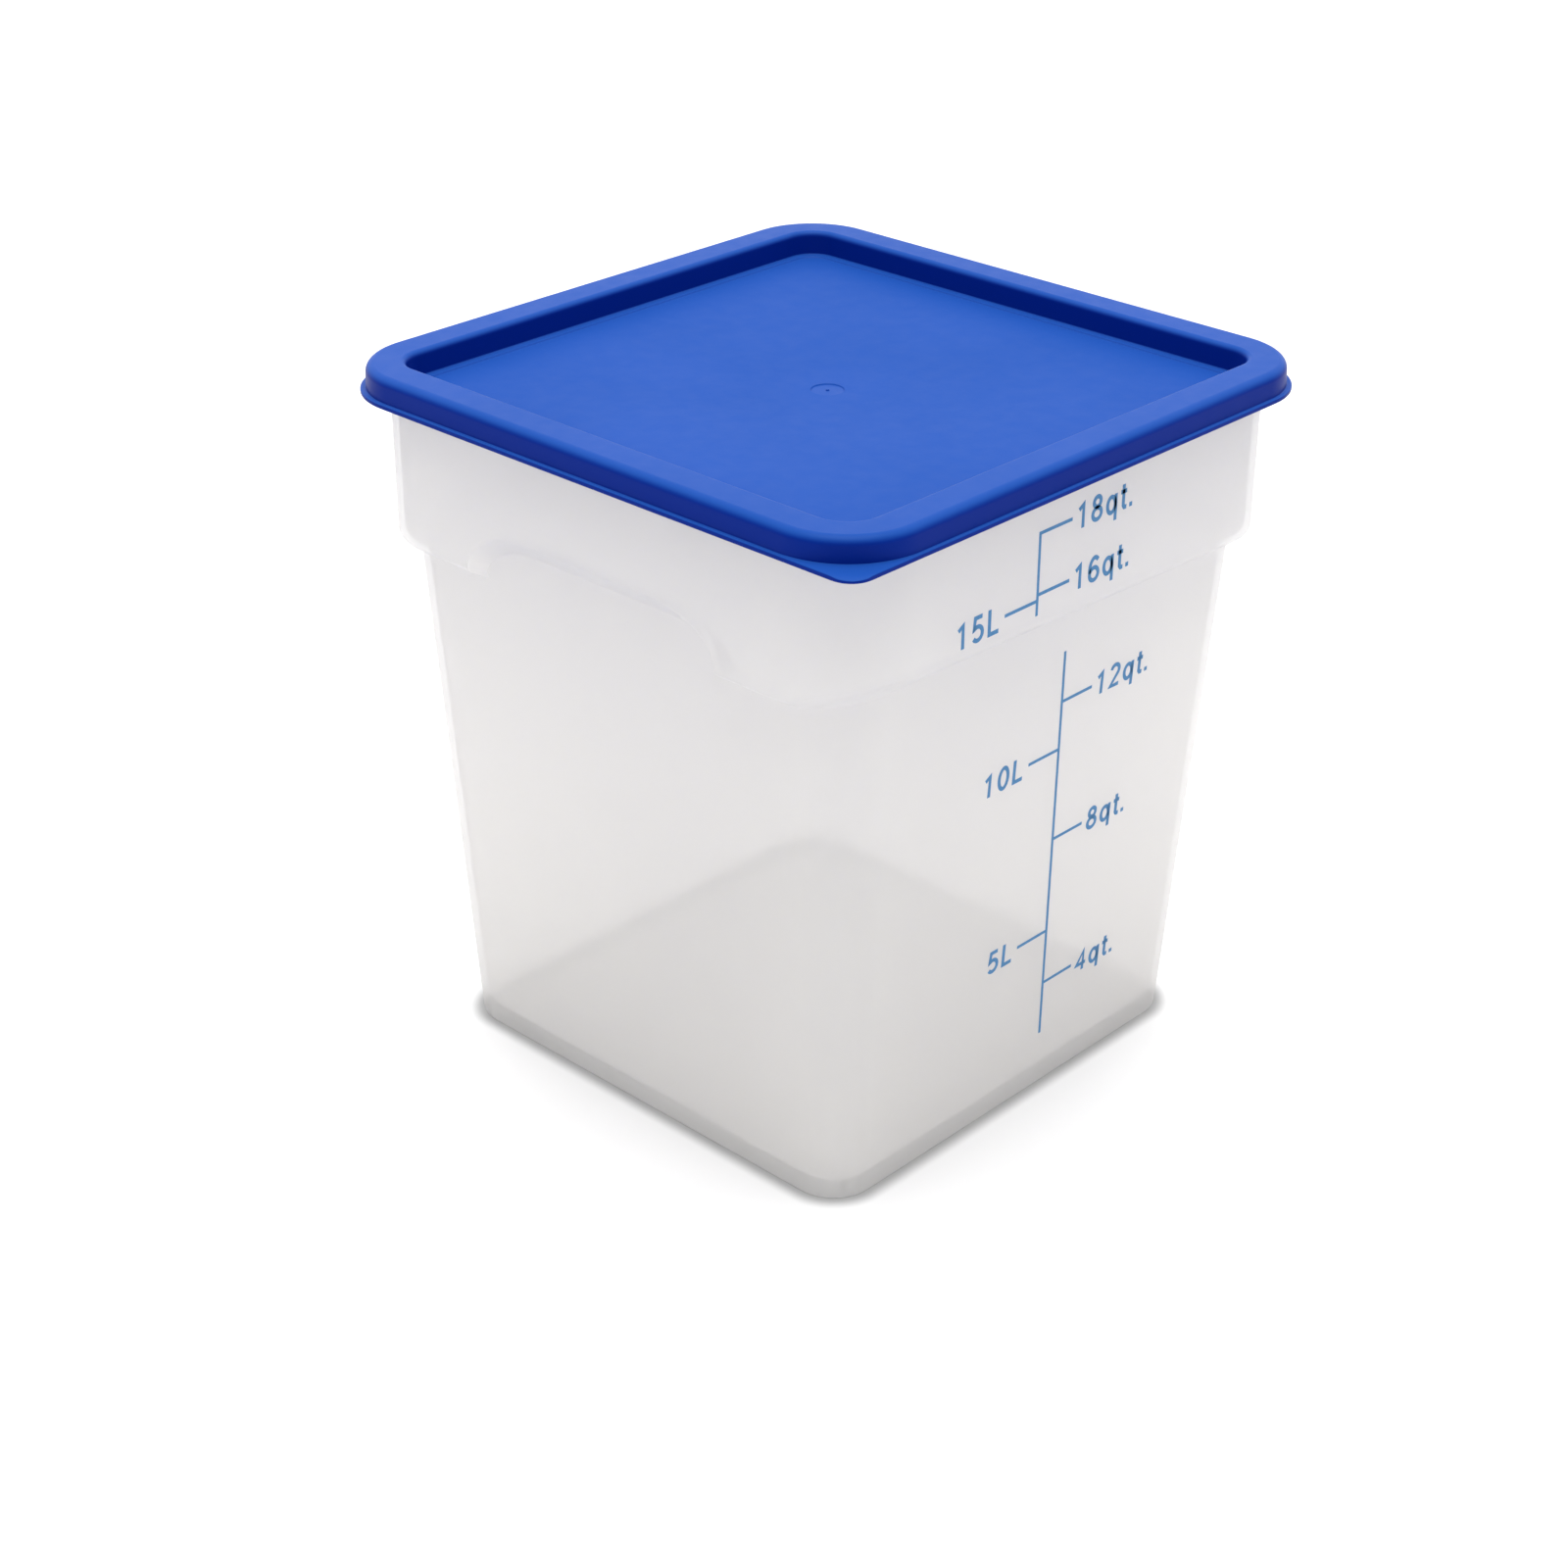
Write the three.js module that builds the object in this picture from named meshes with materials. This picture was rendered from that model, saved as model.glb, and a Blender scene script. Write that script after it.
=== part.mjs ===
// Square food storage container with a lift-off lid, in millimetres, +Z up.
// The origin is the middle of the underside. The printed scale is on the -Y face,
// the two hand grips are under the collar on the -X and +X faces,
// and the lid's pull tab is at the (-X, -Y) corner.
// Every surface is a stack of rounded-square rings, joined from one ring to the next.

import * as THREE from 'three';

// ---- driving dimensions ----

const BASE_WIDTH = 234.6;        // across the underside
const BASE_CORNER = 20;          // plan radius of the vertical edges at the base
const DRAFT = 13.6 / 238;        // how far each wall leans out, per millimetre of height
const CORNER_GROWTH = 6 / 238;   // how fast the plan radius grows, per millimetre of height
const WALL = 2.8;
const FLOOR = 3.5;
const FLOOR_FILLET = 7;          // inside corner between floor and wall
const FOOT_WIDTH = 16;           // flat ring that the container stands on
const FOOT_RECESS = 1;           // how far the middle of the underside is lifted
const FOOT_CHAMFER = 1.2;

const COLLAR_WIDTH = 283.2;      // the wide band below the rim
const COLLAR_CORNER = 40;
const LEDGE_BOTTOM = 236.5;      // where the sloping underside of the collar leaves the wall
const LEDGE_RISE = 6.5;          // height of that slope
const LEDGE_ROUND = 4.5;         // rounding where the slope meets the collar's wall
const LEDGE_TURN = [[-0.5, 0.8], [0, 0.2], [0.5, 0]]; // its rings, up and in, in shares of that
const FACE_LIFT = 8.5;           // the ledge sweeps up by this beside the pull tab's corner
const GRIP_LIFT = 18.5;          // and by this over the hand grips
const LEDGE_TOP_LIFT = 1.15;     // the top of the slope rises by this share of the lift
const GRIP_WIDTH = 144;
const GRIP_BLEND = 35;           // how far the round at each end of a grip reaches
const CORNER_BLEND = [-42, 32];  // where the face's lift starts and ends, going round a corner

const RIM_TOP = 315.4;
const RIM_BEAD = 1.6;            // the rim stands out from the collar by this
const RIM_BEAD_HEIGHT = 6;
const RIM_ROUND = 1;

const TOTAL_HEIGHT = 318;
const LID_THICKNESS = 2;
const SKIRT_WIDTH = 294;
const SKIRT_THICKNESS = 1.7;
const SKIRT_FLARE = 0.9;         // how far the skirt's foot turns out where it meets the flange
const UNDER_ROUND = 0.8;         // rounding inside the top of the skirt
const SKIRT_CORNER = 35;
const TOP_ROUND = 4;             // rounding along the lid's top outer edge
const LIP_WIDTH = 298;           // the thin flange at the foot of the skirt
const LIP_CORNER = 35;
const LIP_BOTTOM = 305.2;
const LIP_THICKNESS = 2.2;
const LIP_ROUND = 0.4;
const TAB_CORNER = 9;            // the flange runs on to a tighter corner here, to make the tab
const RECESS_WIDTH = 258;        // inside the lid's raised border
const RECESS_CORNER = 14;
const RECESS_DEPTH = 11.3;
const RECESS_DRAFT = 1;
const RECESS_ROUND = 2.5;
const SEAT_WIDTH = 216;          // inside this the panel is dished
const DISH_DEPTH = 3;
const GATE_MARK_DIAMETER = 14.5; // round mark in the middle of the panel
const GATE_MARK_DEPTH = 0.4;     // the mark is sunk into the panel
const GATE_MARK_DRAFT = 0.3;

const SCALE_LINE_WIDTH = 1.5;
const SCALE_FILM = 0.15;
const SCALE_STANDOFF = 0.3;      // the print is kept this far off the wall
const TICK_LENGTH = 20;
const UPPER_SCALE = {
  x: -32,
  bottom: 254,
  top: 290,
  ticks: [{ z: 290, side: 1 }, { z: 263, side: 1 }, { z: 260.5, side: -1 }],
};
const LOWER_SCALE = {
  x: 9,
  bottom: 28,
  top: 223,
  ticks: [
    { z: 199, side: 1 }, { z: 176, side: -1 }, { z: 131, side: 1 },
    { z: 83.5, side: -1 }, { z: 55.5, side: 1 },
  ],
};

const MID_ROUND = 1 - Math.SQRT1_2; // how far the middle of a quarter round is from its corner's sides
const CORNER_STEPS = 8;          // straight pieces in each quarter-round corner
const GRIP_STEPS = 5;            // straight pieces in the round at each end of a grip

// ---- materials ----

const polypropylene = new THREE.MeshStandardMaterial({ color: 0xe3e2e2, roughness: 0.45, metalness: 0 });
const lidBlue = new THREE.MeshStandardMaterial({ color: 0x2f5fc4, roughness: 0.5, metalness: 0 });
const inkBlue = new THREE.MeshStandardMaterial({ color: 0x3a78ac, roughness: 0.6, metalness: 0 });

// ---- rings and lofts ----

function smoothStep(low, high, value) {
  const t = THREE.MathUtils.clamp((value - low) / (high - low), 0, 1);
  return t * t * (3 - 2 * t);
}

// Moves a point of an outline straight out from the nearer face by the given distance.
function pushOut(point, distance) {
  const axis = Math.abs(point.x) > Math.abs(point.y) ? 'x' : 'y';
  point[axis] += Math.sign(point[axis]) * distance;
}

// Points of one rounded square, counter-clockwise from the +X face. A ring is
// { half, corner, z }; tab replaces the radius of its (-X, -Y) corner, lifted is the
// share of lift that raises it, and lean how far out it goes for each millimetre of that.
// stations are the places along the -X and +X faces that get points of their own.
function ringPoints({ half, corner, tab = corner, z, lean = 0, lifted = 0 }, stations, lift) {
  const points = [];
  const radii = [corner, corner, tab, corner];
  for (let quarter = 0; quarter < 4; quarter += 1) {
    const turn = (quarter * Math.PI) / 2;
    if (quarter % 2 === 0) {
      for (const station of stations) {
        points.push(new THREE.Vector2(half, station).rotateAround(new THREE.Vector2(), turn));
      }
    }
    const radius = radii[quarter];
    const centre = new THREE.Vector2(half - radius, half - radius);
    for (let step = 0; step <= CORNER_STEPS; step += 1) {
      const angle = (step / CORNER_STEPS) * (Math.PI / 2);
      const onArc = new THREE.Vector2(radius * Math.cos(angle), radius * Math.sin(angle)).add(centre);
      points.push(onArc.rotateAround(new THREE.Vector2(), turn));
    }
  }
  return points.map((point) => {
    const rise = lifted * lift(point);
    pushOut(point, lean * rise);
    return new THREE.Vector3(point.x, point.y, z + rise);
  });
}

// A closed surface from a list of rings, with the first and last ring filled in.
function loft(rings, stations = [], lift = () => 0) {
  const loops = rings.map((ring) => ringPoints(ring, stations, lift));
  const count = loops[0].length;
  const positions = loops.flat();
  const index = [];
  for (let level = 0; level + 1 < loops.length; level += 1) {
    for (let i = 0; i < count; i += 1) {
      const a = level * count + i;
      const b = level * count + ((i + 1) % count);
      index.push(a, b, b + count, a, b + count, a + count);
    }
  }
  const lastLoop = (loops.length - 1) * count;
  const firstCentre = positions.push(new THREE.Vector3(0, 0, rings[0].z)) - 1;
  const lastCentre = positions.push(new THREE.Vector3(0, 0, rings.at(-1).z)) - 1;
  for (let i = 0; i < count; i += 1) {
    const next = (i + 1) % count;
    index.push(firstCentre, next, i);
    index.push(lastCentre, lastLoop + i, lastLoop + next);
  }
  const geometry = new THREE.BufferGeometry().setFromPoints(positions);
  geometry.setIndex(index);
  geometry.computeVertexNormals();
  return geometry;
}

function namedMesh(name, geometry, material) {
  const mesh = new THREE.Mesh(geometry, material);
  mesh.name = name;
  return mesh;
}

// ---- container ----

function wallHalf(z) {
  return BASE_WIDTH / 2 + DRAFT * z;
}

function wallRing(z, inset = 0, options = {}) {
  const corner = BASE_CORNER + CORNER_GROWTH * z - inset;
  return { half: wallHalf(z) - inset, corner, z, lean: DRAFT, ...options };
}

function collarRing(z, inset = 0, options = {}) {
  return { half: COLLAR_WIDTH / 2 - inset, corner: COLLAR_CORNER - inset, z, ...options };
}

// How much higher the collar's ledge is at a point of the outline than at the side corners.
// The sweep up to the -Y face falls away along it, and the +Y face has the same, turned about.
function ledgeLift(point) {
  const across = Math.abs(point.x);
  const along = Math.abs(point.y);
  const fromEnd = THREE.MathUtils.clamp((GRIP_WIDTH / 2 - along) / GRIP_BLEND, 0, 1);
  const overGrip = Math.sqrt(1 - (1 - fromEnd) ** 2);
  const onFace = smoothStep(...CORNER_BLEND, along - across);
  const falling = Math.abs(point.x + point.y) / COLLAR_WIDTH;
  return FACE_LIFT * falling * onFace + (across > along ? GRIP_LIFT * overGrip : 0);
}

function gripStations() {
  const end = GRIP_WIDTH / 2;
  const stations = [];
  for (let step = 0; step <= GRIP_STEPS; step += 1) {
    const angle = ((step / GRIP_STEPS) * Math.PI) / 2;
    stations.push(-end + GRIP_BLEND * (1 - Math.cos(angle)));
  }
  return [...stations, ...stations.map((y) => -y).reverse()];
}

// The ledge's rings: the foot of the slope, then three round the turn into the collar's wall.
function ledgeRings(inset) {
  const rise = inset === 0 ? 0 : WALL / 2;
  const bottom = LEDGE_BOTTOM + rise;
  const slopeTop = bottom + LEDGE_RISE;
  const lifted = { lifted: LEDGE_TOP_LIFT };
  return [
    wallRing(bottom, inset, { lifted: 1 }),
    ...LEDGE_TURN.map(([up, inward]) => {
      return collarRing(slopeTop + LEDGE_ROUND * up, inset + LEDGE_ROUND * inward, lifted);
    }),
  ];
}

function containerGeometry() {
  const beadFoot = RIM_TOP - RIM_BEAD_HEIGHT;
  const floorHalf = wallHalf(FLOOR) - WALL - FLOOR_FILLET;
  const rings = [
    wallRing(FOOT_RECESS, FOOT_WIDTH + FOOT_RECESS),
    wallRing(0, FOOT_WIDTH),
    wallRing(0, FOOT_CHAMFER),
    wallRing(FOOT_CHAMFER),
    ...ledgeRings(0),
    collarRing(beadFoot - RIM_BEAD),
    collarRing(beadFoot, -RIM_BEAD),
    collarRing(RIM_TOP - RIM_ROUND, -RIM_BEAD),
    collarRing(RIM_TOP, RIM_ROUND - RIM_BEAD),
    collarRing(RIM_TOP, WALL - RIM_ROUND),
    collarRing(RIM_TOP - RIM_ROUND, WALL),
    ...ledgeRings(WALL).reverse(),
    wallRing(FLOOR + FLOOR_FILLET, WALL),
    wallRing(FLOOR + FLOOR_FILLET * MID_ROUND, WALL + FLOOR_FILLET * MID_ROUND),
    { half: floorHalf, corner: BASE_CORNER - WALL, z: FLOOR },
  ];
  return loft(rings, gripStations(), ledgeLift);
}

// ---- lid ----

function lidGeometry() {
  const panel = TOTAL_HEIGHT - RECESS_DEPTH;
  const roof = TOTAL_HEIGHT - LID_THICKNESS;
  const lipTop = LIP_BOTTOM + LIP_THICKNESS;
  const skirt = (z, inset = 0) => ({ half: SKIRT_WIDTH / 2 - inset, corner: SKIRT_CORNER - inset, z });
  const lip = (z, inset) => {
    const half = LIP_WIDTH / 2 - inset;
    return { half, corner: LIP_CORNER - inset, tab: TAB_CORNER - inset, z };
  };
  const recess = (z, inset) => ({ half: RECESS_WIDTH / 2 - inset, corner: RECESS_CORNER - inset, z });
  const gateMark = (z, inset) => {
    const half = GATE_MARK_DIAMETER / 2 - inset;
    return { half, corner: half, z };
  };
  const seat = (z) => ({ half: SEAT_WIDTH / 2, corner: RECESS_CORNER, z });
  const dish = panel - DISH_DEPTH;
  const rings = [
    gateMark(dish - LID_THICKNESS, 0),
    seat(panel - LID_THICKNESS),
    recess(panel - LID_THICKNESS, RECESS_DRAFT - LID_THICKNESS),
    recess(roof, -LID_THICKNESS),
    skirt(roof, SKIRT_THICKNESS + UNDER_ROUND),
    skirt(roof - UNDER_ROUND, SKIRT_THICKNESS),
    skirt(LIP_BOTTOM, SKIRT_THICKNESS),
    lip(LIP_BOTTOM, LIP_ROUND),
    lip(LIP_BOTTOM + LIP_ROUND, 0),
    lip(lipTop - LIP_ROUND, 0),
    lip(lipTop, LIP_ROUND),
    skirt(lipTop, -SKIRT_FLARE),
    skirt(TOTAL_HEIGHT - TOP_ROUND),
    skirt(TOTAL_HEIGHT - TOP_ROUND * MID_ROUND, TOP_ROUND * MID_ROUND),
    skirt(TOTAL_HEIGHT, TOP_ROUND),
    recess(TOTAL_HEIGHT, -RECESS_ROUND),
    recess(TOTAL_HEIGHT - RECESS_ROUND, 0),
    recess(panel, RECESS_DRAFT),
    seat(panel),
    gateMark(dish, 0),
    gateMark(dish - GATE_MARK_DEPTH, GATE_MARK_DRAFT),
  ];
  return loft(rings);
}

// ---- printed scale ----

// One line with its ticks, as a thin film drawn in the plane of the wall:
// shape x is along the wall, shape y is up the wall. The line leans back by slope,
// to run parallel to the wall's upright edge at the pull tab's corner.
function scaleFilm({ x, bottom, top, ticks }, slope) {
  const half = SCALE_LINE_WIDTH / 2;
  const right = ticks.filter((tick) => tick.side > 0).sort((a, b) => a.z - b.z);
  const left = ticks.filter((tick) => tick.side < 0).sort((a, b) => b.z - a.z);
  const shape = new THREE.Shape();
  const lineAt = (height) => x - slope * (height - (bottom + top) / 2);
  const drawTo = (offset, height) => shape.lineTo(lineAt(height) + offset, height);
  shape.moveTo(lineAt(bottom) - half, bottom);
  drawTo(half, bottom);
  for (const tick of right) {
    const upper = Math.min(tick.z + half, top);
    drawTo(half, upper - SCALE_LINE_WIDTH);
    drawTo(TICK_LENGTH, upper - SCALE_LINE_WIDTH);
    drawTo(TICK_LENGTH, upper);
    drawTo(half, upper);
  }
  drawTo(half, top);
  drawTo(-half, top);
  for (const tick of left) {
    drawTo(-half, tick.z + half);
    drawTo(-TICK_LENGTH, tick.z + half);
    drawTo(-TICK_LENGTH, tick.z - half);
    drawTo(-half, tick.z - half);
  }
  shape.closePath();
  return new THREE.ExtrudeGeometry(shape, { depth: SCALE_FILM, bevelEnabled: false });
}

// Stands the film on the -Y face of a wall that is half away from the axis at z = 0.
function scaleMesh(name, scale, half, slope) {
  const mesh = namedMesh(name, scaleFilm(scale, slope), inkBlue);
  const lean = Math.atan(slope);
  mesh.rotation.x = Math.PI / 2 + lean;
  mesh.position.y = -half - SCALE_STANDOFF;
  mesh.scale.y = 1 / Math.cos(lean);
  return mesh;
}

// ---- assembly ----

const containerGroup = new THREE.Group();
containerGroup.add(
  namedMesh('container', containerGeometry(), polypropylene),
  scaleMesh('scale_line_upper', UPPER_SCALE, COLLAR_WIDTH / 2, 0),
  scaleMesh('scale_line_lower', LOWER_SCALE, BASE_WIDTH / 2, DRAFT),
);

const storageContainer = new THREE.Group();
storageContainer.add(containerGroup, namedMesh('lid', lidGeometry(), lidBlue));

export default storageContainer;
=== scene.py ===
"""Square food storage container with a lift-off lid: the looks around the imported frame.

Everything is in metres in the frame's axes: +Z up, the printed scale on the -Y face, the hand
grips on the -X and +X faces, the lid's pull tab at the (-X, -Y) corner. Both mouldings are
stacks of rounded-square rings, like the CAD, with true fillets and many more points.
"""

import math
from dataclasses import dataclass

import bmesh
import bpy
from mathutils import Matrix, Vector


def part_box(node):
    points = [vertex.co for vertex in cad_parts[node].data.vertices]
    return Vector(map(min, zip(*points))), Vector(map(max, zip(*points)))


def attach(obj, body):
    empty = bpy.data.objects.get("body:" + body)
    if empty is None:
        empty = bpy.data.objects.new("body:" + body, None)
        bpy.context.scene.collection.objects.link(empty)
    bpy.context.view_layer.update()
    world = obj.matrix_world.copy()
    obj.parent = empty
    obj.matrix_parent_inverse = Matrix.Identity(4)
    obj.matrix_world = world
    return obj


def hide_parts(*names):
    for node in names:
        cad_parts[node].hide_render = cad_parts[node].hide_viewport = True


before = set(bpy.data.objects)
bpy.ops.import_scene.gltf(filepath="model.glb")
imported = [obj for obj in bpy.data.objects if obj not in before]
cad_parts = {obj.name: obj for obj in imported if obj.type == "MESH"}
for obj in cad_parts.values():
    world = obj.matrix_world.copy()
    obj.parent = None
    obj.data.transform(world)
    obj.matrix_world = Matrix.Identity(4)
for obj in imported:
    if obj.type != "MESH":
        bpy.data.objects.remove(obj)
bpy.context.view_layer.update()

MM = 0.001
CONTAINER_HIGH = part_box("container")[1]
LID_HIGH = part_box("lid")[1]

# ---- container sizes ----
BASE_HALF = 117.3 * MM
BASE_CORNER = 20 * MM
DRAFT = 13.6 / 238
CORNER_GROWTH = 6 / 238
WALL = 2.8 * MM
FLOOR = 3.5 * MM
FLOOR_FILLET = 8 * MM
FLOOR_FLAT_INSET = 2.5 * FLOOR_FILLET
FOOT_WIDTH = 16 * MM
FOOT_RECESS = 1 * MM
FOOT_ROUND = 1 * MM
RIM_TOP = CONTAINER_HIGH.z
RIM_BEAD = 1.6 * MM
RIM_BEAD_HEIGHT = 6 * MM
RIM_ROUND = 1.2 * MM
COLLAR_HALF = CONTAINER_HIGH.x - RIM_BEAD
COLLAR_CORNER = 40 * MM
LEDGE_BOTTOM = 236.5 * MM
LEDGE_RISE = 6.5 * MM
LEDGE_ROUND = 3 * MM
LEDGE_FOOT_ROUND = 1 * MM
FACE_LIFT = 8.5 * MM
LEDGE_TOP_LIFT = 1.15
CORNER_BLEND = (-42 * MM, 32 * MM)
GRIP_LIFT = 18.5 * MM
GRIP_HALF = 72 * MM
GRIP_BLEND = 35 * MM

# ---- lid sizes ----
LID_TOP = LID_HIGH.z
LID_THICKNESS = 2 * MM
SKIRT_THICKNESS = 1.7 * MM
SKIRT_ROUND = 0.4 * MM
ROOF_ROUND = 1 * MM
ROOF_EDGE_ROUND = 1.5 * MM
PANEL_UNDER_ROUND = 2 * MM
PANEL_EDGE_ROUND = 0.8 * MM
MARGIN_ROUND = 0.3 * MM
LIP_BOTTOM = 305.2 * MM
LIP_HALF = 149 * MM
LIP_CORNER = 35 * MM
LIP_THICKNESS = 2.2 * MM
LIP_ROUND = 0.7 * MM
TAB_CORNER = 9 * MM
SKIRT_HALF = LIP_HALF - 2 * MM
SKIRT_CORNER = 35 * MM
SKIRT_FLARE = 0.5 * MM
TOP_ROUND = 4 * MM
RECESS_HALF = 129 * MM
RECESS_CORNER = 14 * MM
RECESS_ROUND = 2.8 * MM
RECESS_DRAFT = 1 * MM
PANEL = LID_TOP - 11.3 * MM
MARGIN_STEP = 0.6 * MM
MARGIN_WIDTH = 3 * MM
SEAT_HALF = 108 * MM
DISH_DEPTH = 3 * MM
DISH_STEPS = 12
DISH_ROUND_AT = 0.8
GATE_RADIUS = 7.25 * MM
GATE_DEPTH = 0.45 * MM
NUB_RADIUS = 0.9 * MM
NUB_HEIGHT = 0.5 * MM
NUB_TAPER = 0.6

# ---- printed scale ----
INK_THICKNESS = 0.08 * MM
INK_STANDOFF = 0.03 * MM
LINE_WIDTH = 1.5 * MM
TICK_LENGTH = 20 * MM
NUMERAL_HEIGHT = 11.4 * MM
NUMERAL_PEN = 0.165
NUMERAL_GAP = 2.5 * MM
MITRE_LIMIT = 1.8
UPPER_SCALE = {
    "x": -32 * MM,
    "ends": (254 * MM, 290 * MM),
    "ticks": ((290 * MM, 1, "18qt."), (263 * MM, 1, "16qt."), (260.5 * MM, -1, "15L")),
}
LOWER_SCALE = {
    "x": 9 * MM,
    "ends": (28 * MM, 223 * MM),
    "ticks": (
        (199 * MM, 1, "12qt."), (176 * MM, -1, "10L"), (131 * MM, 1, "8qt."),
        (83.5 * MM, -1, "5L"), (55.5 * MM, 1, "4qt."),
    ),
}

# How finely the surfaces are divided.
CORNER_STEPS = 24
GRIP_STEPS = 12
FILLET_STEPS = 8
FILLET_SHARE = 0.48  # the most of a band that the fillet at one end takes up
SAME_POINT = 0.001 * MM
SHARP_DEGREES = 38
FLAT_FACE_WEIGHT = 60


# ---- rings ----


@dataclass
class Ring:
    """One rounded-square outline.

    tab is the radius of its (-X, -Y) corner, and round the fillet where the profile turns here.
    lift is the share of the ledge's lift that raises it, and push how far that lift moves it
    out, as a share of the rise. skin is the material of the band to the next ring.
    """

    half: float
    corner: float
    z: float
    tab: float = None
    lift: float = 0.0
    push: float = 0.0
    round: float = 0.0
    skin: int = 0

    def __post_init__(self):
        if self.tab is None:
            self.tab = self.corner


def blended(rings, weights):
    """The weighted mean of several rings, with the skin of the last."""
    total = sum(weights)
    values = {
        name: sum(weight * getattr(ring, name) for ring, weight in zip(rings, weights)) / total
        for name in ("half", "corner", "z", "tab", "lift", "push")
    }
    return Ring(**values, skin=rings[-1].skin)


def fillet(before, ring, after):
    """The rings of an arc of radius ring.round that replaces the turn at ring."""
    turning_point = Vector((ring.half, ring.z))
    back = Vector((before.half, before.z)) - turning_point
    ahead = Vector((after.half, after.z)) - turning_point
    turn = math.pi - back.angle(ahead)
    reach = ring.round * math.tan(turn / 2)
    share_back = min(FILLET_SHARE, reach / back.length)
    share_ahead = min(FILLET_SHARE, reach / ahead.length)
    start = blended((before, ring), (share_back, 1 - share_back))
    end = blended((ring, after), (1 - share_ahead, share_ahead))
    end.skin = ring.skin
    steps = max(2, math.ceil(FILLET_STEPS * turn / (math.pi / 2)))
    # A rational quadratic curve with this middle weight is an exact circular arc.
    middle = math.cos(turn / 2)
    arc = []
    for step in range(steps + 1):
        t = step / steps
        weights = ((1 - t) ** 2, 2 * middle * t * (1 - t), t * t)
        arc.append(blended((start, ring, end), weights))
    return arc


def filleted(rings):
    """The rings, with each that has a round replaced by its arc."""
    out = [rings[0]]
    for before, ring, after in zip(rings, rings[1:], rings[2:]):
        out += fillet(before, ring, after) if ring.round else [ring]
    return out + [rings[-1]]


def outline(ring, stations, lift):
    """The ring's points, counter-clockwise from the +X face. stations are the places along the
    -X and +X faces that get points of their own."""
    points = []
    for quarter, radius in enumerate((ring.corner, ring.corner, ring.tab, ring.corner)):
        turn = Matrix.Rotation(quarter * math.pi / 2, 2)
        if quarter % 2 == 0:
            points += [turn @ Vector((ring.half, station)) for station in stations]
        centre = ring.half - radius
        for step in range(CORNER_STEPS + 1):
            angle = step / CORNER_STEPS * math.pi / 2
            arm = Vector((centre + radius * math.cos(angle), centre + radius * math.sin(angle)))
            points.append(turn @ arm)
    return [raised(point, ring, lift(point)) for point in points]


def raised(point, ring, rise):
    """The outline's point in space, where the ledge is higher by rise."""
    x, y = point
    out = ring.push * rise
    if abs(x) > abs(y):
        x += math.copysign(out, x)
    else:
        y += math.copysign(out, y)
    return Vector((x, y, ring.z + ring.lift * rise))


def loft(name, rings, stations=(), lift=lambda point: 0.0):
    """A closed mesh through the rings, with the first and last ring filled in."""
    rings = filleted(rings)
    shape = bmesh.new()
    loops = [[shape.verts.new(p) for p in outline(ring, stations, lift)] for ring in rings]
    count = len(loops[0])
    for ring, low, high in zip(rings, loops, loops[1:]):
        for i in range(count):
            j = (i + 1) % count
            shape.faces.new((low[i], low[j], high[j], high[i])).material_index = ring.skin
    shape.faces.new(reversed(loops[0])).material_index = rings[0].skin
    shape.faces.new(loops[-1]).material_index = rings[-1].skin
    bmesh.ops.remove_doubles(shape, verts=shape.verts, dist=SAME_POINT)
    return smooth_object(name, shape)


def smooth_object(name, shape):
    """An object from a bmesh, smooth across its fillets and flat on its flats."""
    mesh = bpy.data.meshes.new(name)
    for face in shape.faces:
        face.smooth = True
    shape.to_mesh(mesh)
    shape.free()
    mesh.set_sharp_from_angle(angle=math.radians(SHARP_DEGREES))
    piece = bpy.data.objects.new(name, mesh)
    bpy.context.scene.collection.objects.link(piece)
    normals = piece.modifiers.new("flat faces lead", "WEIGHTED_NORMAL")
    normals.keep_sharp = True
    normals.weight = FLAT_FACE_WEIGHT
    return piece


def smooth_step(low, high, value):
    t = min(1.0, max(0.0, (value - low) / (high - low)))
    return t * t * (3 - 2 * t)


# ---- container ----


def wall_ring(z, inset=0.0, lifted=False, **options):
    corner = BASE_CORNER + CORNER_GROWTH * z - inset
    half = BASE_HALF + DRAFT * z - inset
    share = 1.0 if lifted else 0.0
    return Ring(half, corner, z, lift=share, push=DRAFT * share, **options)


def collar_ring(z, inset=0.0, **options):
    return Ring(COLLAR_HALF - inset, COLLAR_CORNER - inset, z, **options)


def grip_stations():
    angles = [step / GRIP_STEPS * math.pi / 2 for step in range(GRIP_STEPS + 1)]
    low = [-GRIP_HALF + GRIP_BLEND * (1 - math.cos(angle)) for angle in angles]
    return low + [-station for station in reversed(low)]


def ledge_lift(point):
    """How much higher the ledge is at this point of the outline than at a side corner.
    It sweeps up from the pull tab's corner to the -Y face and falls away along that face."""
    across, along = abs(point.x), abs(point.y)
    from_end = min(1.0, max(0.0, (GRIP_HALF - along) / GRIP_BLEND))
    over_grip = math.sqrt(1 - (1 - from_end) ** 2) if across > along else 0.0
    falling = abs(point.x + point.y) / (2 * COLLAR_HALF)
    return FACE_LIFT * falling * smooth_step(*CORNER_BLEND, along - across) + GRIP_LIFT * over_grip


def ledge_rings(inset):
    """The foot of the ledge's slope, and its top where it turns into the collar."""
    rise = WALL / 2 if inset else 0.0
    bottom = LEDGE_BOTTOM + rise
    return [
        wall_ring(bottom, inset, lifted=True, round=LEDGE_FOOT_ROUND + inset),
        collar_ring(bottom + LEDGE_RISE, inset, lift=LEDGE_TOP_LIFT, round=LEDGE_ROUND - inset / 2),
    ]


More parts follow.
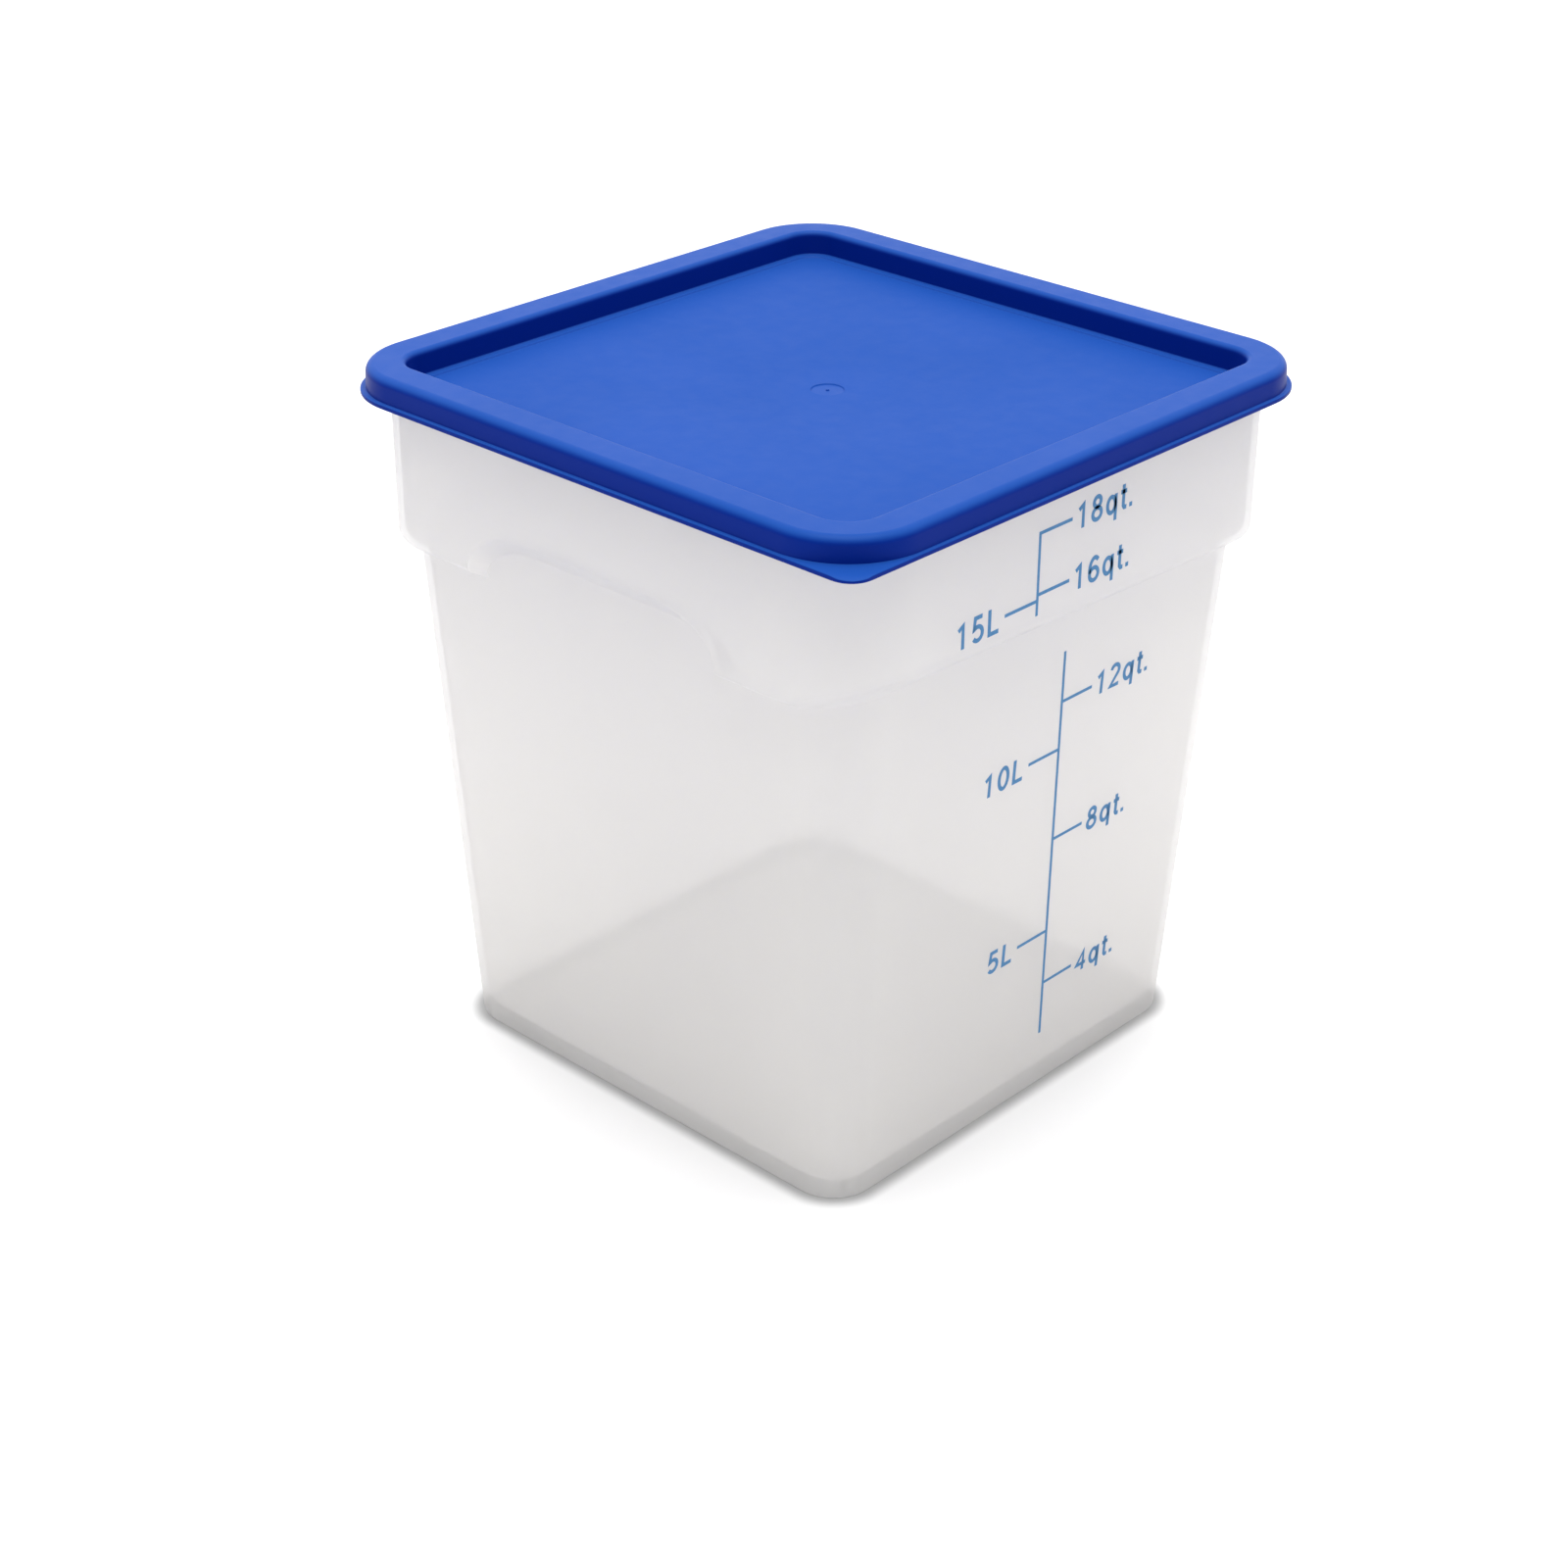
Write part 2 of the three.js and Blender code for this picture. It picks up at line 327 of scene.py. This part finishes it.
def container_piece():
    bead_foot = RIM_TOP - RIM_BEAD_HEIGHT
    rings = [
        wall_ring(FOOT_RECESS, FOOT_WIDTH + 2 * FOOT_RECESS),
        wall_ring(FOOT_RECESS, FOOT_WIDTH + FOOT_RECESS, round=FOOT_RECESS),
        wall_ring(0, FOOT_WIDTH, round=FOOT_RECESS / 2),
        wall_ring(0, round=FOOT_ROUND),
        *ledge_rings(0.0),
        collar_ring(bead_foot - RIM_BEAD, round=RIM_ROUND),
        collar_ring(bead_foot, -RIM_BEAD, round=RIM_ROUND),
        collar_ring(RIM_TOP, -RIM_BEAD, round=RIM_ROUND),
        collar_ring(RIM_TOP, WALL, round=RIM_ROUND),
        *reversed(ledge_rings(WALL)),
        wall_ring(FLOOR, WALL, round=FLOOR_FILLET),
        floor_ring(),
    ]
    return loft("container_shell", rings, grip_stations(), ledge_lift)


def floor_ring():
    """Where the inside of the floor is flat."""
    return Ring(BASE_HALF - WALL - FLOOR_FLAT_INSET, BASE_CORNER - WALL, FLOOR)


# ---- lid ----

BORDER_SKIN = 0
PANEL_SKIN = 1


def lip_ring(z, inset=0.0, **options):
    tab = TAB_CORNER - inset
    return Ring(LIP_HALF - inset, LIP_CORNER - inset, z, tab=tab, **options)


def skirt_ring(z, inset=0.0, **options):
    return Ring(SKIRT_HALF - inset, SKIRT_CORNER - inset, z, **options)


def recess_ring(z, inset=0.0, **options):
    return Ring(RECESS_HALF - inset, RECESS_CORNER - inset, z, **options)


def round_ring(radius, z, **options):
    return Ring(radius, radius, z, **options)


def dish_rings(z_shift, skin):
    """From the flat seat down to the mark in the middle, turning from square to round."""
    rings = []
    for step in range(DISH_STEPS + 1):
        t = step / DISH_STEPS
        half = SEAT_HALF + (GATE_RADIUS - SEAT_HALF) * t
        roundness = RECESS_CORNER / SEAT_HALF
        roundness += (1 - roundness) * smooth_step(0, DISH_ROUND_AT, t)
        z = PANEL + z_shift - DISH_DEPTH * smooth_step(0, 1, t)
        rings.append(Ring(half, half * roundness, z, skin=skin))
    return rings


def lid_piece():
    roof = LID_TOP - LID_THICKNESS
    underside = PANEL - LID_THICKNESS
    dish = PANEL - DISH_DEPTH
    lip_top = LIP_BOTTOM + LIP_THICKNESS
    margin = RECESS_DRAFT + MARGIN_WIDTH
    rings = [
        *reversed(dish_rings(-LID_THICKNESS, BORDER_SKIN)),
        recess_ring(underside, RECESS_DRAFT - LID_THICKNESS, round=PANEL_UNDER_ROUND),
        recess_ring(roof, -LID_THICKNESS, round=ROOF_ROUND),
        skirt_ring(roof, SKIRT_THICKNESS, round=ROOF_EDGE_ROUND),
        skirt_ring(LIP_BOTTOM, SKIRT_THICKNESS, round=SKIRT_ROUND),
        lip_ring(LIP_BOTTOM, round=LIP_ROUND),
        lip_ring(lip_top, round=LIP_ROUND),
        skirt_ring(lip_top, -SKIRT_FLARE, round=SKIRT_ROUND),
        skirt_ring(LID_TOP, round=TOP_ROUND),
        recess_ring(LID_TOP, round=RECESS_ROUND),
        recess_ring(PANEL + MARGIN_STEP, RECESS_DRAFT, round=PANEL_EDGE_ROUND),
        recess_ring(PANEL + MARGIN_STEP, margin, round=MARGIN_ROUND),
        recess_ring(PANEL, margin + MARGIN_STEP, round=MARGIN_ROUND, skin=PANEL_SKIN),
        *dish_rings(0.0, PANEL_SKIN),
        round_ring(GATE_RADIUS - GATE_DEPTH, dish - GATE_DEPTH),
        round_ring(NUB_RADIUS, dish - GATE_DEPTH),
        round_ring(NUB_RADIUS * NUB_TAPER, dish - GATE_DEPTH + NUB_HEIGHT),
    ]
    return loft("lid_shell", rings)


# ---- printed scale ----


def add_box(shape, low, high):
    """A box between two opposite corners."""
    corners = bmesh.ops.create_cube(shape, size=1.0)["verts"]
    for vert in corners:
        for axis in range(3):
            vert.co[axis] = high[axis] if vert.co[axis] > 0 else low[axis]


def arc(x, y, across, up, start, end, steps=16):
    """Points on an ellipse from one angle to another, in degrees."""
    angles = [math.radians(start + (end - start) * step / steps) for step in range(steps + 1)]
    return [(x + across * math.cos(angle), y + up * math.sin(angle)) for angle in angles]


# For each character, how far it moves the pen on and its strokes, in units of the height.
GLYPHS = {
    "0": (0.84, [arc(0.40, 0.50, 0.245, 0.43, 0, 360, 28)]),
    "1": (0.76, [[(0.14, 0.72), (0.38, 0.88), (0.38, 0.0)]]),
    "2": (0.84, [arc(0.40, 0.70, 0.23, 0.23, 165, -38) + [(0.17, 0.075), (0.67, 0.075)]]),
    "4": (0.84, [[(0.53, 0.0), (0.53, 0.88), (0.13, 0.30), (0.70, 0.30)]]),
    "5": (0.84, [
        [(0.62, 0.93), (0.25, 0.93), (0.20, 0.52)] + arc(0.39, 0.33, 0.25, 0.26, 125, -145),
    ]),
    "6": (0.84, [arc(0.41, 0.31, 0.24, 0.24, 0, 360, 28), arc(0.44, 0.45, 0.28, 0.48, 48, 188)]),
    "8": (0.84, [arc(0.40, 0.74, 0.19, 0.19, 0, 360, 28), arc(0.40, 0.29, 0.24, 0.22, 0, 360, 28)]),
    "L": (0.76, [[(0.17, 1.0), (0.17, 0.075), (0.66, 0.075)]]),
    "q": (0.84, [arc(0.37, 0.37, 0.22, 0.30, 0, 360, 28), [(0.62, 0.74), (0.62, -0.27)]]),
    "t": (0.50, [
        [(0.22, 0.95), (0.22, 0.16), (0.29, 0.07), (0.41, 0.07)],
        [(0.06, 0.68), (0.40, 0.68)],
    ]),
    ".": (0.34, [[(0.16, 0.0), (0.16, NUMERAL_PEN)]]),
}


def add_stroke(shape, points):
    """A flat solid ribbon along the points, as wide as the pen, with mitred turns."""
    points = [Vector(point) * NUMERAL_HEIGHT for point in points]
    count = len(points)
    closed = (points[0] - points[-1]).length < SAME_POINT
    if closed:
        count -= 1
    rows = []
    for i in range(count):
        ahead = points[(i + 1) % count] if closed or i + 1 < count else points[i]
        behind = points[i - 1] if closed or i > 0 else points[i]
        steps = [step for step in (points[i] - behind, ahead - points[i]) if step.length]
        sides = [step.orthogonal().normalized() for step in steps]
        middle = sum(sides, Vector((0, 0))).normalized()
        mitre = 1 / max(1 / MITRE_LIMIT, middle.dot(sides[0]))
        reach = mitre * NUMERAL_PEN * NUMERAL_HEIGHT / 2
        row = []
        for side, height in ((1, 0), (1, INK_THICKNESS), (-1, INK_THICKNESS), (-1, 0)):
            place = points[i] + middle * side * reach
            row.append(shape.verts.new((place.x, place.y, height)))
        rows.append(row)
    for here, there in zip(rows, rows[1:] + rows[:1] if closed else rows[1:]):
        for k in range(4):
            shape.faces.new((here[k], here[(k + 1) % 4], there[(k + 1) % 4], there[k]))
    if not closed:
        shape.faces.new(reversed(rows[0]))
        shape.faces.new(rows[-1])


def add_words(shape, words, near, middle, side):
    """Numerals beside a tick, centred on its height and starting or ending at near."""
    first_new = len(shape.verts)
    pen = 0.0
    for letter in words:
        advance, strokes = GLYPHS[letter]
        for stroke in strokes:
            add_stroke(shape, [(x + pen, y) for x, y in stroke])
        pen += advance
    left = near if side > 0 else near - pen * NUMERAL_HEIGHT
    shape.verts.ensure_lookup_table()
    shift = Vector((left, middle - NUMERAL_HEIGHT / 2, 0))
    bmesh.ops.translate(shape, vec=shift, verts=shape.verts[first_new:])


def wall_plane(half, slope):
    """Turns (along the wall, up it, out of it) into the frame's axes on the -Y face of a wall
    that is half away from the axis at z = 0 and leans out by slope."""
    lean = math.atan(slope)
    along = Vector((1, 0, 0))
    up = Vector((0, -math.sin(lean), math.cos(lean)))
    turn = Matrix((along, up, along.cross(up))).transposed().to_4x4()
    return Matrix.Translation((0, -half - INK_STANDOFF, 0)) @ turn


def scale_piece(name, scale, half, slope):
    """One printed line with its ticks and numerals."""
    stretch = math.hypot(1, slope)
    bottom, top = (z * stretch for z in scale["ends"])
    width = LINE_WIDTH / 2

    def line_at(height):
        """The line runs parallel to the wall's upright edge at the pull tab's corner."""
        return scale["x"] - slope * (height - (bottom + top) / 2)

    shape = bmesh.new()
    add_box(shape, (-width, bottom, 0), (width, top, INK_THICKNESS))
    for vert in shape.verts:
        vert.co.x += line_at(vert.co.y)
    for height, side, words in scale["ticks"]:
        tick = min(height * stretch, top - width)
        near = line_at(tick) + side * width
        far = line_at(tick) + side * TICK_LENGTH
        low = (min(near, far), tick - width, 0)
        high = (max(near, far), tick + width, INK_THICKNESS)
        add_box(shape, low, high)
        add_words(shape, words, far + side * NUMERAL_GAP, tick, side)
    bmesh.ops.transform(shape, matrix=wall_plane(half, slope), verts=shape.verts)
    bmesh.ops.recalc_face_normals(shape, faces=shape.faces)
    mesh = bpy.data.meshes.new(name)
    shape.to_mesh(mesh)
    shape.free()
    piece = bpy.data.objects.new(name, mesh)
    bpy.context.scene.collection.objects.link(piece)
    return piece


# ---- materials ----


class Nodes:
    """Builds one node tree: add() makes a node, sets its settings and fills its sockets."""

    def __init__(self, owner):
        owner.use_nodes = True
        self.tree = owner.node_tree
        self.tree.nodes.clear()

    def add(self, kind, sockets=None, **settings):
        node = self.tree.nodes.new(kind)
        for name, value in settings.items():
            setattr(node, name, value)
        for name, value in (sockets or {}).items():
            if isinstance(value, bpy.types.NodeSocket):
                self.tree.links.new(value, node.inputs[name])
            else:
                node.inputs[name].default_value = value
        return node

    def noise(self, scale, detail=3.0):
        """A noise value fixed to the object, with scale features in each metre."""
        place = self.add("ShaderNodeTexCoord").outputs["Object"]
        noise = self.add("ShaderNodeTexNoise", {"Vector": place, "Scale": scale, "Detail": detail})
        return noise.outputs["Fac"]

    def spread(self, value, low, high):
        """Maps the middle of a noise value to the range from low to high."""
        sockets = {"Value": value, "From Min": 0.3, "From Max": 0.7, "To Min": low, "To Max": high}
        return self.add("ShaderNodeMapRange", sockets).outputs["Result"]

    def tones(self, value, first, second):
        """A colour between two, chosen by a noise value."""
        mix = self.add("ShaderNodeMix", data_type="RGBA")
        self.tree.links.new(self.spread(value, 0, 1), mix.inputs["Factor"])
        mix.inputs["A"].default_value = (*first, 1)
        mix.inputs["B"].default_value = (*second, 1)
        return mix.outputs["Result"]

    def bump(self, value, height):
        sockets = {"Height": value, "Distance": height, "Strength": 1.0}
        return self.add("ShaderNodeBump", sockets).outputs["Normal"]


GLOWING_SHARE = 0.65
CLEAR_SHARE = 0.4


def container_plastic():
    """Milky translucent polypropylene. CLEAR_SHARE of it is see-through, and GLOWING_SHARE of
    the rest lets light through as a glow under a satin skin."""
    material = bpy.data.materials.new("container_plastic")
    nodes = Nodes(material)
    milk = nodes.tones(nodes.noise(9), (0.968, 0.96, 0.941), (0.953, 0.945, 0.93))
    skin = nodes.bump(nodes.noise(700), 0.012 * MM)
    satin = nodes.add("ShaderNodeBsdfPrincipled", {
        "Base Color": milk,
        "Roughness": nodes.spread(nodes.noise(60), 0.33, 0.42),
        "Specular IOR Level": 0.2,
        "Normal": skin,
    })
    glow = nodes.add("ShaderNodeBsdfTranslucent", {"Color": milk, "Normal": skin})
    clear = nodes.add("ShaderNodeBsdfTransparent", {"Color": (1.0, 0.995, 1.0, 1)})
    body = nodes.add("ShaderNodeMixShader", {"Fac": GLOWING_SHARE})
    nodes.tree.links.new(satin.outputs[0], body.inputs[1])
    nodes.tree.links.new(glow.outputs[0], body.inputs[2])
    whole = nodes.add("ShaderNodeMixShader", {"Fac": CLEAR_SHARE})
    nodes.tree.links.new(body.outputs[0], whole.inputs[1])
    nodes.tree.links.new(clear.outputs[0], whole.inputs[2])
    nodes.add("ShaderNodeOutputMaterial", {"Surface": whole.outputs[0]})
    return material


def lid_plastic_with_painted_shade(name, grain_height, roughness):
    """Royal blue polyethylene, with painted shade that colours its upright walls a darker blue than
    its level surfaces.
    """
    material = bpy.data.materials.new(name)
    nodes = Nodes(material)
    level_blue = nodes.tones(nodes.noise(14), (0.012, 0.074, 0.37), (0.016, 0.080, 0.39))
    # Painted shade: the surface normal picks a darker blue for upright walls, standing in for the
    # light they get less of.
    facing = nodes.add("ShaderNodeTexCoord").outputs["Normal"]
    upward = nodes.add("ShaderNodeSeparateXYZ", {"Vector": facing}).outputs["Z"]
    level = nodes.add("ShaderNodeMapRange", {
        "Value": upward,
        "From Min": 0.2,
        "From Max": 0.85,
    }, interpolation_type="SMOOTHSTEP")
    blue = nodes.add("ShaderNodeMix", data_type="RGBA")
    nodes.tree.links.new(level.outputs["Result"], blue.inputs["Factor"])
    # The darker blue painted on upright walls as shade.
    blue.inputs["A"].default_value = (0.0003, 0.019, 0.235, 1)
    nodes.tree.links.new(level_blue, blue.inputs["B"])
    surface = nodes.add("ShaderNodeBsdfPrincipled", {
        "Base Color": blue.outputs["Result"],
        "Roughness": nodes.spread(nodes.noise(120), roughness - 0.04, roughness + 0.04),
        "Specular IOR Level": 0.045,
        "Normal": nodes.bump(nodes.noise(1500, detail=2.0), grain_height),
    })
    nodes.add("ShaderNodeOutputMaterial", {"Surface": surface.outputs[0]})
    return material


def scale_ink():
    """Screen-printed steel blue ink, a little uneven where it lies on the satin wall."""
    material = bpy.data.materials.new("scale_ink")
    nodes = Nodes(material)
    surface = nodes.add("ShaderNodeBsdfPrincipled", {
        "Base Color": nodes.tones(nodes.noise(500), (0.042, 0.188, 0.413), (0.055, 0.21, 0.44)),
        "Roughness": 0.5,
        "Specular IOR Level": 0.3,
        "Normal": nodes.bump(nodes.noise(2500), 0.01 * MM),
    })
    nodes.add("ShaderNodeOutputMaterial", {"Surface": surface.outputs[0]})
    return material


LIT_PAPER = 0.9
SHADED_PAPER = 0.42
SHADE_REACH = 8 * MM


def studio_floor():
    """Matt white paper, in soft shade within SHADE_REACH of the container's foot."""
    material = bpy.data.materials.new("studio_floor")
    nodes = Nodes(material)
    place = nodes.add("ShaderNodeTexCoord").outputs["Object"]
    fold = nodes.add("ShaderNodeVectorMath", {0: place}, operation="ABSOLUTE")
    straight = BASE_HALF - BASE_CORNER
    past = nodes.add("ShaderNodeVectorMath", {
        0: fold.outputs[0],
        1: (straight, straight, 0),
    }, operation="SUBTRACT")
    outside = nodes.add("ShaderNodeVectorMath", {
        0: past.outputs[0],
        1: (0, 0, 0),
    }, operation="MAXIMUM")
    distance = nodes.add("ShaderNodeVectorMath", {0: outside.outputs[0]}, operation="LENGTH")
    shade = nodes.add("ShaderNodeMapRange", {
        "Value": distance.outputs["Value"],
        "From Min": BASE_CORNER,
        "From Max": BASE_CORNER + SHADE_REACH,
        "To Min": SHADED_PAPER,
        "To Max": LIT_PAPER,
    }, interpolation_type="SMOOTHSTEP")
    paper = nodes.add("ShaderNodeBsdfDiffuse", {"Color": shade.outputs["Result"]})
    nodes.add("ShaderNodeOutputMaterial", {"Surface": paper.outputs[0]})
    return material


# ---- camera, lights and floor ----

TOWARD_BACK = Vector((1, 1, 0.4)).normalized()
FRONT_LIGHT = 0.44
BACK_LIGHT = 1.3


CAMERA_PLACE = Vector((-0.84965, -0.77318, 0.72309))
CAMERA_YAW_PITCH_ROLL = (43.1745, -27.8926, 0.3036)
CAMERA_LENS = 65.89
SENSOR_WIDTH = 36


def place_camera():
    """The viewing angle: yaw from +X towards +Y, pitch above the horizon, roll about the view."""
    yaw, pitch, roll = (math.radians(degrees) for degrees in CAMERA_YAW_PITCH_ROLL)
    ahead = Vector((
        math.cos(pitch) * math.cos(yaw),
        math.cos(pitch) * math.sin(yaw),
        math.sin(pitch),
    ))
    level = ahead.cross(Vector((0, 0, 1))).normalized()
    above = level.cross(ahead)
    right = math.cos(roll) * level + math.sin(roll) * above
    up = math.cos(roll) * above - math.sin(roll) * level
    camera = bpy.data.objects.new("camera", bpy.data.cameras.new("camera"))
    bpy.context.scene.collection.objects.link(camera)
    turn = Matrix((right, up, -ahead)).transposed().to_4x4()
    camera.matrix_world = Matrix.Translation(CAMERA_PLACE) @ turn
    camera.data.lens = CAMERA_LENS
    camera.data.sensor_width = SENSOR_WIDTH
    bpy.context.scene.camera = camera


def light_world():
    """White to look at. As a light it is brighter behind the object than in front of it."""
    world = bpy.data.worlds.new("studio")
    bpy.context.scene.world = world
    nodes = Nodes(world)
    direction = nodes.add("ShaderNodeTexCoord").outputs["Generated"]
    toward_back = nodes.add(
        "ShaderNodeVectorMath", {0: direction, 1: TOWARD_BACK}, operation="DOT_PRODUCT"
    )
    strength = nodes.add("ShaderNodeMapRange", {
        "Value": toward_back.outputs["Value"],
        "From Min": 0.0,
        "From Max": 0.9,
        "To Min": FRONT_LIGHT,
        "To Max": BACK_LIGHT,
    }, interpolation_type="SMOOTHSTEP")
    lighting = nodes.add("ShaderNodeBackground", {"Strength": strength.outputs["Result"]})
    lighting.inputs["Color"].default_value = (1, 1, 1, 1)
    white = nodes.add("ShaderNodeBackground", {"Color": (1, 1, 1, 1), "Strength": 1.0})
    seen = nodes.add("ShaderNodeLightPath").outputs["Is Camera Ray"]
    mix = nodes.add("ShaderNodeMixShader", {"Fac": seen})
    nodes.tree.links.new(lighting.outputs[0], mix.inputs[1])
    nodes.tree.links.new(white.outputs[0], mix.inputs[2])
    nodes.add("ShaderNodeOutputWorld", {"Surface": mix.outputs[0]})


def add_sun(name, strength, spread_degrees, source):
    """A wide soft light from far away, from the direction of source."""
    light = bpy.data.lights.new(name, "SUN")
    light.energy = strength
    light.angle = math.radians(spread_degrees)
    lamp = bpy.data.objects.new(name, light)
    bpy.context.scene.collection.objects.link(lamp)
    lamp.rotation_mode = "QUATERNION"
    lamp.rotation_quaternion = Vector(source).to_track_quat("Z", "Y")


FLOOR_HALF = 8.0


def lay_floor():
    shape = bmesh.new()
    bmesh.ops.create_grid(shape, x_segments=1, y_segments=1, size=FLOOR_HALF)
    mesh = bpy.data.meshes.new("studio_floor")
    shape.to_mesh(mesh)
    shape.free()
    mesh.materials.append(studio_floor())
    floor = bpy.data.objects.new("studio_floor", mesh)
    bpy.context.scene.collection.objects.link(floor)


bpy.context.scene.view_settings.view_transform = "Standard"
place_camera()
light_world()
add_sun("overhead", 2.7, 50, (-0.06, -0.06, 1))
lay_floor()

container = container_piece()
container.data.materials.append(container_plastic())
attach(container, "container_body")
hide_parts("container")

lid = lid_piece()
lid.data.materials.append(lid_plastic_with_painted_shade("lid_border", 0.006 * MM, 0.38))
lid.data.materials.append(lid_plastic_with_painted_shade("lid_panel", 0.03 * MM, 0.5))
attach(lid, "lid_body")
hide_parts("lid")

ink = scale_ink()
for node, scale, half, slope in (
    ("scale_line_upper", UPPER_SCALE, COLLAR_HALF, 0.0),
    ("scale_line_lower", LOWER_SCALE, BASE_HALF, DRAFT),
):
    print_run = scale_piece(node.replace("line", "print"), scale, half, slope)
    print_run.data.materials.append(ink)
    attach(print_run, "container_body")
    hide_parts(node)
